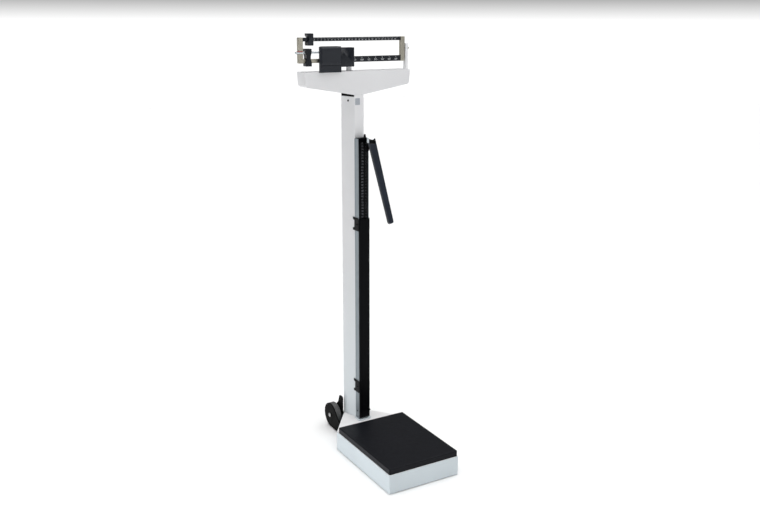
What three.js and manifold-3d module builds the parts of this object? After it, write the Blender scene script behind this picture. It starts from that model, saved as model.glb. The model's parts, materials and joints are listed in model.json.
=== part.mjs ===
// Physician beam scale: a platform with a weighing beam on a column, a height rod and two wheels.
// Units are millimetres and +Z is up. The person stands on the platform facing +Y, towards the
// column. X = 0 is the middle of the scale, and Y = 0 is the front edge of the base. The last
// lines move the whole model so that its origin is under the middle of its bounding box.

import * as THREE from 'three';
import { mergeVertices } from 'three/addons/utils/BufferGeometryUtils.js';
import Module from 'manifold-3d';

const wasm = await Module();
wasm.setup();

// ---------------------------------------------------------------- driving dimensions

const GAP = 0.3;
const DEG = Math.PI / 180;

const base = { width: 267, depth: 362, top: 68.5, bottom: 2, wall: 3, plate: 4, rim: 13 };
const neck = { rear: 500, rearHalf: 30 };
const platform = { inset: 2, rear: 353, bottom: 69.1, top: 88.6, corner: 5, skirt: 3, rubber: 4 };
const mouthCorner = 14;

const column = { front: 431.5, rear: 496, frontHalf: 17, rearHalf: 33.4, wall: 1.6 };
const cap = { topHalf: 197.5, endHalf: 194.5, rear: 489, top: 1305.5, endBottom: 1258, bottom: 1228 };
const rodSlot = { left: -64, right: -12, front: 445.5, rear: 466 };

const rod = { half: 20, rear: 429, front: 403, wall: 1.6, bottom: 76, top: 1086 };
const cover = { front: 397.5, bottom: 80, top: 776, collarTop: 814, collarHalf: 18.2 };
const slider = { half: 17.6, front: 405.6, rear: 426.6, bottom: 110, top: 1088 };
const clip = { height: 46, thickness: 1.2, prong: 441, spine: 428, levels: { lower: 198, upper: 794 } };

const beam = { y: 440, half: 3, left: -216, right: 177.5, bracket: 16 };
const upperBar = { bottom: 1401.3, top: 1413.3 };
const lowerBar = { bottom: 1334, top: 1352.5, tailTop: 1347, left: -122, notch: 26 };
const fulcrum = { x: -27, z: 1344, arm: 25, edge: 4 };
const balance = { z: 1366.8, radius: 2.8, tip: -229 };
const steelyard = { y: 461, radius: 2.5, foot: 34, crank: 1291 };

const wheel = { radius: 45, width: 20, y: 536, z: 49, inner: 45.5, axle: 5 };
const yoke = { inner: 40.5, outer: 67.5, plate: 3, front: 488, hornTop: 133, tip: 456, tipTop: 36 };

const head = { x: 8, y: 361, z: 1080, angle: 26.5 * DEG, ear: 10, pin: 2.3, lug: 10.4 };
const arm = { length: 280, topWidth: 25.6, tipWidth: 17.6, depth: 11, wall: 2, webTop: -9, tipRadius: 7 };

const barLeft = beam.left + beam.bracket + GAP;
const barRight = beam.right - beam.bracket - GAP;
const halfWidth = base.width / 2;

// ---------------------------------------------------------------- materials

const finish = (color, roughness, metalness) => ({ color, roughness, metalness });

const finishes = {
  whitePaint: finish(0xe4e6e8, 0.45, 0.0),
  greyPaint: finish(0xbfcdd4, 0.5, 0.0),
  blackPlastic: finish(0x121316, 0.45, 0.0),
  blackPaint: finish(0x14161a, 0.35, 0.1),
  rubber: finish(0x1c1d21, 0.8, 0.0),
  nickel: finish(0xb4ad9c, 0.35, 0.9),
  steel: finish(0x9a9ea2, 0.4, 0.9),
  aluminium: finish(0x93a2a8, 0.35, 0.9),
  castIron: finish(0x3a3d40, 0.7, 0.5),
};

// ---------------------------------------------------------------- shape helpers

const root = new THREE.Group();

function add(name, geometry, look) {
  const mesh = new THREE.Mesh(geometry, new THREE.MeshStandardMaterial(look));
  mesh.name = name;
  root.add(mesh);
}

function outline(points) {
  return new THREE.Shape(points.map(([u, v]) => new THREE.Vector2(u, v)));
}

// An outline whose corners are rounded: each point is [u, v, radius], and radius may be 0.
function rounded(points) {
  const shape = new THREE.Shape();
  points.forEach(([u, v, radius = 0], i) => {
    const before = points.at(i - 1);
    const after = points[(i + 1) % points.length];
    const corner = new THREE.Vector2(u, v);
    const start = stepTowards(corner, before, radius);
    const end = stepTowards(corner, after, radius);
    if (i === 0) {
      shape.moveTo(start.x, start.y);
    } else {
      shape.lineTo(start.x, start.y);
    }
    if (radius > 0) {
      shape.quadraticCurveTo(u, v, end.x, end.y);
    }
  });
  return shape;
}

function stepTowards(from, target, distance) {
  const direction = new THREE.Vector2(target[0], target[1]).sub(from).normalize();
  return from.clone().addScaledVector(direction, distance);
}

function rectangle(u0, u1, v0, v1, radius = 0) {
  return rounded([[u0, v0, radius], [u1, v0, radius], [u1, v1, radius], [u0, v1, radius]]);
}

function circle(u, v, radius) {
  return new THREE.Shape().absarc(u, v, radius, 0, 2 * Math.PI);
}

function extrude(shape, length, curveSegments) {
  return new THREE.ExtrudeGeometry(shape, { depth: length, bevelEnabled: false, curveSegments });
}

// The outline lies in plan, as X and Y.
function prismZ(shape, z0, z1, curveSegments = 5) {
  return extrude(shape, z1 - z0, curveSegments).translate(0, 0, z0);
}

// The outline lies upright, as X and Z.
function prismY(shape, y0, y1, curveSegments = 5) {
  return extrude(shape, y1 - y0, curveSegments).rotateX(Math.PI / 2).translate(0, y1, 0);
}

// The outline lies upright, as Y and Z.
function prismX(shape, x0, x1, curveSegments = 5) {
  const alongX = new THREE.Matrix4().makeBasis(
    new THREE.Vector3(0, 1, 0),
    new THREE.Vector3(0, 0, 1),
    new THREE.Vector3(1, 0, 0),
  );
  return extrude(shape, x1 - x0, curveSegments).applyMatrix4(alongX).translate(x0, 0, 0);
}

function block(x0, x1, y0, y1, z0, z1) {
  return prismZ(rectangle(x0, x1, y0, y1), z0, z1);
}

function pinX(x0, x1, y, z, radius, sides = 24) {
  const pin = new THREE.CylinderGeometry(radius, radius, x1 - x0, sides).rotateZ(Math.PI / 2);
  return pin.translate((x0 + x1) / 2, y, z);
}

function pinY(y0, y1, x, z, radius, sides = 24) {
  return new THREE.CylinderGeometry(radius, radius, y1 - y0, sides).translate(x, (y0 + y1) / 2, z);
}

function pinZ(z0, z1, x, y, radius, sides = 24) {
  const pin = new THREE.CylinderGeometry(radius, radius, z1 - z0, sides).rotateX(Math.PI / 2);
  return pin.translate(x, y, (z0 + z1) / 2);
}

function solid(geometry) {
  const bare = geometry.clone();
  bare.deleteAttribute('normal');
  bare.deleteAttribute('uv');
  const merged = mergeVertices(bare);
  return new wasm.Manifold(new wasm.Mesh({
    numProp: 3,
    vertProperties: merged.attributes.position.array,
    triVerts: new Uint32Array(merged.index.array),
  }));
}

function surface(manifold) {
  const mesh = manifold.getMesh();
  const geometry = new THREE.BufferGeometry();
  geometry.setAttribute('position', new THREE.BufferAttribute(mesh.vertProperties, 3));
  geometry.setIndex(new THREE.BufferAttribute(mesh.triVerts, 1));
  return geometry;
}

function join(...geometries) {
  return surface(geometries.map(solid).reduce((whole, piece) => whole.add(piece)));
}

function cut(body, ...tools) {
  return surface(tools.map(solid).reduce((whole, tool) => whole.subtract(tool), solid(body)));
}

const sides = { left: -1, right: 1 };

// An X range on one side of the middle, lowest value first.
const spanOn = (side, near, far) => (side < 0 ? [-far, -near] : [near, far]);

// ---------------------------------------------------------------- base

function basePlan(inset) {
  const side = halfWidth - inset;
  const rearHalf = neck.rearHalf - inset;
  return outline([
    [-side, inset],
    [side, inset],
    [side, base.depth],
    [rearHalf, neck.rear - inset],
    [-rearHalf, neck.rear - inset],
    [-side, base.depth],
  ]);
}

const cornerBlock = 32;
const cornerTop = 14;
const frontFoot = { x: halfWidth - 19, y: 19 };
const rearFoot = { x: halfWidth - 19, y: base.depth - 24 };

function cornerGusset(x, y) {
  const half = cornerBlock / 2;
  return block(x - half, x + half, y - half, y + half, base.bottom, cornerTop);
}

function baseShell() {
  const hollow = prismZ(basePlan(base.wall), base.bottom - 1, base.top - base.plate);
  const mouth = rectangle(
    -halfWidth + base.rim, halfWidth - base.rim, base.rim, base.depth - base.rim, mouthCorner,
  );
  const shell = cut(
    prismZ(basePlan(0), base.bottom, base.top),
    hollow,
    prismZ(mouth, base.top - base.plate - 1, base.top + 1),
    pinZ(base.top - base.plate - 1, base.top + 1, 0, steelyard.y, 9),
  );
  const neckPad = block(-16, 16, neck.rear - 28, neck.rear - 1, base.bottom, cornerTop);
  const gussets = Object.values(sides).flatMap((side) => [
    cornerGusset(side * (frontFoot.x + 1), frontFoot.y - 1),
    cornerGusset(side * (rearFoot.x + 1), rearFoot.y),
  ]);
  return join(shell, neckPad, ...gussets);
}

function buildBase() {
  add('base_shell', baseShell(), finishes.greyPaint);
  for (const [name, side] of Object.entries(sides)) {
    const x = side * frontFoot.x;
    add(`foot_front_${name}`, pinZ(0, base.bottom - GAP, x, frontFoot.y, 13), finishes.rubber);
    add(`foot_rear_${name}`, pinZ(0, base.bottom - GAP, x, rearFoot.y, 13), finishes.rubber);
  }
  add('foot_neck', pinZ(0, base.bottom - GAP, 0, neck.rear - 15, 11), finishes.rubber);
}

// ---------------------------------------------------------------- platform

function platformPlan(inset) {
  const near = platform.inset + inset;
  const radius = Math.max(platform.corner - inset, 1);
  return rectangle(-halfWidth + near, halfWidth - near, near, platform.rear - inset, radius);
}

function buildPlatform() {
  const plateTop = platform.top - platform.rubber - GAP;
  const plate = prismZ(platformPlan(platform.skirt + GAP), platform.bottom + 1, plateTop);
  const mat = cut(
    prismZ(platformPlan(0), platform.bottom, platform.top),
    prismZ(platformPlan(platform.skirt), platform.bottom - 1, platform.top - platform.rubber),
  );
  add('platform_plate', plate, finishes.castIron);
  add('platform_mat', mat, finishes.rubber);
}

// ---------------------------------------------------------------- levers in the base

const lever = { half: 6, longBottom: 33, longTop: 42, shortBottom: 20, shortTop: 28, reach: 92 };
const leverY = { front: 30, rear: 330, shortNose: 176 };

// A plan outline of two arms that meet at a nose, like the letter A without its bar.
function forkPlan(spread, footY, noseY, tail) {
  const direction = Math.sign(noseY - footY);
  const slant = lever.half * 2.6;
  return outline([
    [-spread - lever.half, footY],
    [-spread + lever.half, footY],
    [0, noseY - direction * slant * 2],
    [spread - lever.half, footY],
    [spread + lever.half, footY],
    [lever.half, noseY],
    [lever.half, noseY + direction * tail],
    [-lever.half, noseY + direction * tail],
    [-lever.half, noseY],
  ]);
}

function buildLevers() {
  const longNose = steelyard.y - 26;
  const eye = pinZ(lever.longBottom - 1, lever.longTop + 1, 0, steelyard.y, steelyard.radius + 0.6);
  const longPlan = forkPlan(lever.reach, leverY.front, longNose, steelyard.y + 8 - longNose);
  add('long_lever', cut(prismZ(longPlan, lever.longBottom, lever.longTop), eye), finishes.castIron);
  const shortPlan = forkPlan(lever.reach, leverY.rear, leverY.shortNose, 10);
  add('short_lever', prismZ(shortPlan, lever.shortBottom, lever.shortTop), finishes.castIron);
  const posts = {
    front: { y: leverY.front + GAP, top: lever.longBottom - GAP },
    rear: { y: leverY.rear - 9, top: lever.shortBottom - GAP },
  };
  for (const [name, side] of Object.entries(sides)) {
    const [x0, x1] = spanOn(side, lever.reach - lever.half, frontFoot.x - 1);
    for (const [end, { y, top }] of Object.entries(posts)) {
      const post = block(x0, x1, y, y + 8, cornerTop + GAP, top);
      add(`lever_post_${end}_${name}`, post, finishes.castIron);
    }
  }
}

// ---------------------------------------------------------------- column

const columnFlare = (column.rearHalf - column.frontHalf) / (column.rear - column.front);
const flareAngle = Math.atan(columnFlare);
const columnHalfAt = (y) => column.frontHalf + (y - column.front) * columnFlare;

function columnPlan(inset) {
  const front = column.front + inset;
  const rear = column.rear - inset;
  return outline([
    [-columnHalfAt(front) + inset, front],
    [columnHalfAt(front) - inset, front],
    [columnHalfAt(rear) - inset, rear],
    [-columnHalfAt(rear) + inset, rear],
  ]);
}

const columnBottom = base.top + GAP;
const columnTop = cap.bottom - GAP;
const sleeve = { half: 12.5, front: 445, rear: 475, bottom: 1120, top: 1284, wall: 2 };

function columnShell() {
  const sideTop = columnTop - 6;
  return cut(
    prismZ(columnPlan(0), columnBottom, columnTop),
    prismZ(columnPlan(column.wall), columnBottom - 1, columnTop + 1),
    block(-18, 18, column.rear - 5, column.rear + 5, columnBottom - 1, columnTop + 1),
    block(-40, 40, column.front + 3, column.rear + 5, sideTop, columnTop + 1),
  );
}

const backCover = { half: 25, thickness: 1.2, bottom: 84, top: 1200 };
const screwHead = { y: column.front + 30, z: 1208, radius: 3.6, height: 1.6 };

function buildColumn() {
  add('column_shell', columnShell(), finishes.whitePaint);
  const rear = column.rear + GAP;
  const { half, thickness, bottom, top } = backCover;
  add('column_back_cover', block(-half, half, rear, rear + thickness, bottom, top), finishes.whitePaint);
  const sleeveTube = cut(
    block(-sleeve.half, sleeve.half, sleeve.front, sleeve.rear, sleeve.bottom, sleeve.top),
    block(
      sleeve.wall - sleeve.half, sleeve.half - sleeve.wall,
      sleeve.front + sleeve.wall, sleeve.rear - sleeve.wall,
      sleeve.bottom - 1, sleeve.top + 1,
    ),
  );
  add('cap_sleeve', sleeveTube, finishes.steel);
  const lidTop = columnTop - 7;
  const lid = cut(
    prismZ(columnPlan(column.wall + GAP), lidTop - 2, lidTop),
    block(
      -sleeve.half - GAP, sleeve.half + GAP,
      sleeve.front - GAP, sleeve.rear + GAP,
      lidTop - 3, lidTop + 1,
    ),
  );
  add('column_lid', lid, finishes.whitePaint);
  for (const [name, side] of Object.entries(sides)) {
    const screw = pinX(GAP, GAP + screwHead.height, 0, 0, screwHead.radius, 16);
    screw.rotateZ(side > 0 ? -flareAngle : Math.PI + flareAngle);
    screw.translate(side * columnHalfAt(screwHead.y), screwHead.y, screwHead.z);
    add(`column_screw_${name}`, screw, finishes.steel);
  }
}

// ---------------------------------------------------------------- cap under the beam

const capWall = 1.6;

function capOutline(inset, topInset) {
  const neckHalf = column.frontHalf;
  return rounded([
    [-neckHalf, cap.bottom + inset],
    [neckHalf, cap.bottom + inset],
    [cap.endHalf - inset, cap.endBottom + inset, 9 - inset],
    [cap.topHalf - inset, cap.top - topInset],
    [-cap.topHalf + inset, cap.top - topInset],
    [-cap.endHalf + inset, cap.endBottom + inset, 9 - inset],
  ]);
}

function buildCap() {
  const hollow = prismY(capOutline(capWall, capWall), column.front + capWall, cap.rear + 1);
  const throat = block(
    -sleeve.half - GAP, sleeve.half + GAP,
    sleeve.front - GAP, sleeve.rear + GAP,
    cap.bottom - 1, cap.bottom + 10,
  );
  const slot = block(
    rodSlot.left, rodSlot.right, rodSlot.front, rodSlot.rear, cap.top - 5, cap.top + 1,
  );
  const housing = cut(prismY(capOutline(0, 0), column.front, cap.rear), hollow, throat, slot);
  add('cap_housing', housing, finishes.whitePaint);
  const backPlate = prismY(capOutline(2.2, 2.2), cap.rear - 1.6, cap.rear);
  add('cap_back_cover', backPlate, finishes.whitePaint);
}

// ---------------------------------------------------------------- fulcrum stand and trig loop

const stand = { front: 447, rear: 455.5, half: 8, foot: 1262, top: fulcrum.z - fulcrum.edge - GAP };

function buildStand() {
  const left = fulcrum.x - stand.half;
  const right = fulcrum.x + stand.half;
  const groove = outline([
    [fulcrum.x, stand.top - 5],
    [fulcrum.x + 6, stand.top + 1],
    [fulcrum.x - 6, stand.top + 1],
  ]);
  const bearingBottom = stand.top - 9;
  const bearing = cut(
    block(left, right, stand.front, stand.rear, bearingBottom, stand.top),
    prismY(groove, stand.front - 1, stand.rear + 1),
  );
  const postTop = bearingBottom - GAP;
  const post = block(left, right, stand.front, stand.rear, stand.foot, postTop);
  const foot = block(left - 12, right + 6, stand.front, stand.rear, stand.foot, stand.foot + 3);
  add('fulcrum_stand', join(post, foot), finishes.steel);
  add('fulcrum_bearing', bearing, finishes.steel);
}

const trig = { left: 180, right: 189.5, front: 433.4, rear: 447, top: 1391, hole: 9, z: 1376 };

function buildTrigLoop() {
  const bottom = cap.top + GAP;
  const post = block(trig.left, trig.right, trig.front, trig.rear, bottom, trig.top);
  const hole = rectangle(trig.front + 2, trig.rear - 2, trig.z - trig.hole, trig.z + trig.hole, 2);
  const flange = block(trig.left - 8, trig.left + 1, trig.front, trig.rear, bottom, bottom + 1.6);
  const window = prismX(hole, trig.left - 1, trig.right + 1);
  add('trig_loop', cut(join(post, flange), window), finishes.whitePaint);
}

// ---------------------------------------------------------------- beam

function beamBracket(x0, x1) {
  const profile = rectangle(x0, x1, lowerBar.bottom - 0.5, upperBar.top + 0.5, 2.5);
  return prismY(profile, beam.y - 6, beam.y + 6);
}

function barBlock(x0, x1, bottom, top) {
  return block(x0, x1, beam.y - beam.half, beam.y + beam.half, bottom, top);
}

// The lower bar has a row of V notches along its top edge, where the large poise is parked.
function notchedBar() {
  const depth = 2.2;
  const rim = lowerBar.top + 1;
  const notches = [];
  for (let x = -12; x < barRight - 20; x += lowerBar.notch) {
    const vee = outline([[x - depth, rim], [x, lowerBar.top - depth], [x + depth, rim]]);
    notches.push(prismY(vee, beam.y - 5, beam.y + 5));
  }
  return cut(barBlock(lowerBar.left, barRight, lowerBar.bottom, lowerBar.top), ...notches);
}

function knife(x, up, length) {
  const tip = up ? fulcrum.edge : -fulcrum.edge;
  const edge = outline([[x - 4, fulcrum.z - tip], [x + 4, fulcrum.z - tip], [x, fulcrum.z + tip]]);
  const front = beam.y + beam.half + GAP;
  return prismY(edge, front, front + length);
}

function buildBeam() {
  const { bottom, top } = upperBar;
  add('beam_upper_bar', barBlock(barLeft, barRight, bottom, top), finishes.blackPaint);
  add('beam_lower_bar', notchedBar(), finishes.blackPaint);
  const tailRight = lowerBar.left - GAP;
  add('beam_tail_bar', barBlock(barLeft, tailRight, lowerBar.bottom, lowerBar.tailTop), finishes.nickel);
  const leftBracket = beamBracket(beam.left, beam.left + beam.bracket);
  const rodHole = pinX(beam.left - 1, barLeft + 1, beam.y, balance.z, balance.radius + GAP, 16);
  add('beam_bracket_left', cut(leftBracket, rodHole), finishes.nickel);
  add('beam_bracket_right', beamBracket(beam.right - beam.bracket, beam.right), finishes.nickel);
  const rodEnd = fulcrum.x - 40;
  add('balance_rod', pinX(balance.tip, rodEnd, beam.y, balance.z, balance.radius, 16), finishes.steel);
  const lug = cut(
    block(rodEnd - 4, rodEnd + 1, beam.y - 4, beam.y + 4, lowerBar.top + GAP, balance.z + 5),
    pinX(rodEnd - 5, rodEnd + 2, beam.y, balance.z, balance.radius + GAP, 16),
  );
  add('balance_rod_lug', lug, finishes.nickel);
  add('fulcrum_knife', knife(fulcrum.x, false, 13), finishes.steel);
  add('load_knife', knife(fulcrum.x - fulcrum.arm, true, 22), finishes.steel);
  const pointer = join(
    pinX(beam.right + GAP, trig.right + 3, beam.y, trig.z, 2.4, 16),
    pinX(trig.right + 2, trig.right + 6, beam.y, trig.z, 4, 16),
  );
  add('beam_pointer', pointer, finishes.nickel);
}

// ---------------------------------------------------------------- poises

const slack = 0.6;
const apronRear = column.front - 1;

// The YZ outline of a weight on the lower bar: a front slab, an apron that hangs in front of the
// cap, a lip under the bar and a roof over it.
function poiseProfile(front, rear, bottom, top) {
  const face = beam.y - beam.half - slack;
  const back = beam.y + beam.half + slack;
  const lip = Math.max(bottom, cap.top + 4.5);
  return outline([
    [front, bottom],
    [apronRear, bottom],
    [apronRear, lip],
    [back + 2, lip],
    [back + 2, lowerBar.bottom + 2],
    [back, lowerBar.bottom + 2],
    [back, lowerBar.bottom - slack],
    [face, lowerBar.bottom - slack],
    [face, lowerBar.top + slack],
    [rear, lowerBar.top + slack],
    [rear, top],
    [front, top],
  ]);
}

const largePoise = {
  left: -146.5, roofLeft: -129, middle: -70, right: -20,
  front: 418, rear: 456, bottom: 1303.5, top: 1385, step: 5,
};

function buildLargePoise() {
  const { left, roofLeft, middle, right, front, rear, bottom, top, step } = largePoise;
  const slab = block(left, roofLeft + 1, front, apronRear, bottom, top);
  const body = prismX(poiseProfile(front, rear, bottom, top), roofLeft, middle);
  const nose = prismX(poiseProfile(front + step, rear - step, bottom + 16.5, top - 4), middle - 1, right);
  const rodWay = block(left - 1, right + 1, beam.y - 5, beam.y + 5, lowerBar.top - 2, balance.z + 6);
  add('large_poise', cut(join(slab, body, nose), rodWay), finishes.blackPaint);
}

const smallPoise = { left: -186, right: -165, bottom: 1388.5, top: 1426, half: 10.5, notch: 5 };

function buildSmallPoise() {
  const { left, right, bottom, top, half, notch } = smallPoise;
  const waist = (bottom + top) / 2 + 2;
  const side = rounded([
    [left, bottom, 1.5],
    [right, bottom, 1.5],
    [right, top, 1.5],
    [left, top, 1.5],
    [left, waist + 10],
    [left + notch, waist + 4],
    [left + notch, waist - 4],
    [left, waist - 10],
  ]);
  const barWay = block(
    left - 1, right + 1,
    beam.y - beam.half - slack, beam.y + beam.half + slack,
    upperBar.bottom - slack, upperBar.top + slack,
  );
  const mouth = block(left - 1, right + 1, beam.y - 2, beam.y + 2, bottom - 1, upperBar.bottom);
  const weight = cut(prismY(side, beam.y - half, beam.y + half), barWay, mouth);
  add('small_poise', weight, finishes.blackPaint);
}

const hourglass = { left: -193, right: -172, bottom: 1324, top: 1379, half: 10.5, waist: 4, cheek: 11 };

function buildBalanceWeight() {
  const { left, right, bottom, top, half, waist, cheek } = hourglass;
  const middle = (bottom + top) / 2;
  const side = rounded([
    [left, bottom, 2], [right, bottom, 2], [right, bottom + cheek], [right - waist, middle, 6],
    [right, top - cheek], [right, top, 2], [left, top, 2], [left, top - cheek],
    [left + waist, middle, 6], [left, bottom + cheek],
  ]);
  const barWay = block(
    left - 1, right + 1,
    beam.y - beam.half - slack, beam.y + beam.half + slack,
    lowerBar.bottom - slack, lowerBar.tailTop + slack,
  );
  const rodWay = pinX(left - 1, right + 1, beam.y, balance.z, balance.radius + 0.5, 16);
  const weight = cut(prismY(side, beam.y - half, beam.y + half), barWay, rodWay);
  add('balance_weight', weight, finishes.blackPaint);
}

// ---------------------------------------------------------------- steelyard rod

function buildSteelyard() {
  const hangX = fulcrum.x - fulcrum.arm;
  const { y, radius, foot, crank } = steelyard;
  const hookBottom = fulcrum.z - 12;
  const path = [[0, foot], [0, crank], [hangX, crank], [hangX, hookBottom]];
  const corners = path.map(([x, z]) => new THREE.Vector3(x, y, z));
  const lengths = corners.slice(1).map((corner, i) => rodBetween(corners[i], corner, radius));
  const joints = corners.slice(1, -1).map((corner) => new THREE.SphereGeometry(radius, 16, 10)
    .translate(corner.x, corner.y, corner.z));
  add('steelyard_rod', join(...lengths, ...joints), finishes.steel);
  const half = 8;
  const opening = 5;
  const plate = rectangle(hangX - half, hangX + half, hookBottom + GAP, fulcrum.z + 8.6, 2);
  const window = rectangle(
    hangX - opening, hangX + opening, fulcrum.z - 7, fulcrum.z + fulcrum.edge + GAP,
  );
  const eye = cut(prismY(plate, y - radius, y + radius), prismY(window, y - 4, y + 4));
  add('steelyard_hook', eye, finishes.steel);
}

function rodBetween(from, to, radius) {
  const along = new THREE.Vector3().subVectors(to, from);
  const rodShape = new THREE.CylinderGeometry(radius, radius, along.length(), 16);
  const turn = new THREE.Quaternion().setFromUnitVectors(new THREE.Vector3(0, 1, 0), along.normalize());
  const middle = new THREE.Vector3().addVectors(from, to).multiplyScalar(0.5);
  return rodShape.applyQuaternion(turn).translate(middle.x, middle.y, middle.z);
}

// ---------------------------------------------------------------- height rod

function buildHeightRod() {
  const { half, rear, front, wall, bottom, top } = rod;
  const channel = cut(
    block(-half, half, front, rear, bottom, top),
    block(wall - half, half - wall, front - 1, rear - wall, bottom - 1, top + 1),
  );
  add('rod_channel', channel, finishes.aluminium);
  const collar = cover.collarHalf;
  const strip = join(
    block(-half, half, cover.front, front - GAP, cover.bottom, cover.top),
    block(-collar, collar, cover.front, front - GAP, cover.top - 1, cover.collarTop),
  );
  add('rod_cover', strip, finishes.blackPlastic);
  const footTop = rod.bottom - GAP;
  const footPlate = block(-half - 4, half + 4, front - 6, rear, columnBottom, footTop - 2);
  const footLip = block(half - 3, half + 4, front - 6, front + 4, columnBottom, footTop);
  add('rod_foot', join(footPlate, footLip), finishes.greyPaint);
  for (const [name, level] of Object.entries(clip.levels)) {
    add(`rod_clip_${name}`, rodClip(level), finishes.blackPlastic);
  }
}

// A clip has a plate between the rod and the column, and an ear with two prongs on each side.
function rodClip(level) {
  const near = rod.half + GAP;
  const far = near + clip.thickness;
  const low = level - clip.height / 2;
  const high = level + clip.height / 2;
  const { prong, spine } = clip;
  const nose = cover.front + 2;
  const ear = outline([
    [nose, low + 6], [nose + 4.5, low], [prong, low], [prong, low + 8], [spine, low + 11],
    [spine, high - 11], [prong, high - 8], [prong, high], [nose + 4.5, high], [nose, high - 6],
  ]);
  const plateFront = rod.rear + GAP;
  const plateRear = column.front - GAP;
  const plate = block(-far + 0.2, far - 0.2, plateFront, plateRear, low + 2, high - 2);
  return join(plate, prismX(ear, -far, -near), prismX(ear, near, far));
}

function buildSlider() {
  const { half, front, rear, bottom, top } = slider;
  const bar = cut(
    block(-half, half, front, rear, bottom, top),
    block(-half + 2, half - 2, front + 2, rear + 1, bottom - 1, top - 3),
  );
  add('height_slider', bar, finishes.blackPlastic);
  add('slider_head', sliderHead(), finishes.blackPlastic);
  const peak = outline([[6, top + GAP], [13, top + GAP], [11, top + 12], [8, top + 12]]);
  add('slider_stop', prismY(peak, front + 1, front + 9), finishes.blackPlastic);
  const pinHalf = arm.topWidth / 2 + 1.2;
  const pin = pinX(head.x - pinHalf, head.x + pinHalf, head.y, head.z, head.pin);
  add('hinge_pin', pin, finishes.steel);
}

// A side plate on the right of the slider's face, which carries the barrel of the hinge.
function sliderHead() {
  const rear = slider.front - GAP;
  const left = head.x - head.lug;
  const right = head.x + head.lug;
  const plate = outline([
    [head.y, head.z - 7], [head.y + 8, head.z - 10], [rear - 6, head.z - 36],
    [rear, head.z - 36], [rear, head.z + 5], [head.y, head.z + 5],
  ]);
  const barrel = prismX(circle(head.y, head.z, 7), left, right, 10);
  const bore = pinX(left - 1, right + 1, head.y, head.z, head.pin + GAP);
  return cut(join(prismX(plate, right - 5, right - 1), barrel), bore);
}

// The arm is drawn pointing down from its pin, then turned outwards to its resting angle.
function buildHeadpiece() {
  const { length, topWidth, tipWidth, depth, wall, webTop, tipRadius } = arm;
  const plan = (inset, cutTop) => rounded([
    [-tipWidth / 2 + inset, -length + inset, tipRadius - inset],
    [tipWidth / 2 - inset, -length + inset, tipRadius - inset],
    [topWidth / 2 - inset, cutTop, 0],
    [-topWidth / 2 + inset, cutTop, 0],
  ]);
  const near = -depth / 2;
  const far = depth / 2;
  const slotTop = head.ear + 2;
  const tray = cut(
    prismY(plan(0, head.ear), near, far),
    prismY(plan(wall, slotTop), near + wall, far + 1),
    block(-topWidth / 2 + wall, topWidth / 2 - wall, near - 1, far + 1, webTop, slotTop),
    pinX(-topWidth, topWidth, 0, 0, head.pin + GAP),
  );
  const turned = tray.rotateX(-head.angle).translate(head.x, head.y, head.z);
  add('headpiece_arm', turned, finishes.blackPlastic);
}

// ---------------------------------------------------------------- wheels

function ringX(inner, outer, width, x, chamfer) {
  const half = width / 2;
  const profile = [
    [inner, -half], [outer - chamfer, -half], [outer, -half + chamfer],
    [outer, half - chamfer], [outer - chamfer, half], [inner, half], [inner, -half],
  ];
  const ring = new THREE.LatheGeometry(profile.map(([r, h]) => new THREE.Vector2(r, h)), 48);
  return ring.rotateZ(Math.PI / 2).translate(x, wheel.y, wheel.z);
}

// The inner plate of a bracket: round about the axle, with a horn that stands beside the column.
function innerPlate() {
  const { y, z } = wheel;
  const bottom = z - 41;
  return rounded([
    [yoke.front, bottom], [y + 4, bottom + 8, 10], [y + 26, z, 14], [y + 8, z + 33, 12],
    [y - 14, z + 55, 6], [y - 23, yoke.hornTop, 9], [yoke.front, yoke.hornTop, 9],
  ]);
}

// The outer plate is round about the axle and runs forward to an upright edge beside the base.
function outerPlate() {
  const plate = new THREE.Shape();
  plate.moveTo(yoke.tip, wheel.z - wheel.radius);
  plate.lineTo(wheel.y, wheel.z - wheel.radius);
  plate.absarc(wheel.y, wheel.z, wheel.radius, -90 * DEG, 125 * DEG, false);
  plate.lineTo(yoke.tip, yoke.tipTop);
  return plate;
}

// One bracket: the two plates, the bridge in front of the wheel and the flange behind the neck.
function wheelBracket(side, bore) {
  const bottom = wheel.z - 41;
  const inner = spanOn(side, yoke.inner, yoke.inner + yoke.plate);
  const outer = spanOn(side, yoke.outer, yoke.outer + yoke.plate);
  const across = spanOn(side, yoke.inner, yoke.outer + yoke.plate);
  const bridge = rectangle(yoke.front, yoke.front + yoke.plate, bottom, bottom + 16);
  const [flange0, flange1] = spanOn(side, 6, yoke.inner + 1);
  const flangeFront = neck.rear + GAP;
  return cut(
    join(
      prismX(innerPlate(), ...inner),
      prismX(outerPlate(), ...outer),
      prismX(bridge, ...across),
      block(flange0, flange1, flangeFront, flangeFront + yoke.plate, 14, base.top - 5),
    ),
    bore,
  );
}

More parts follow.
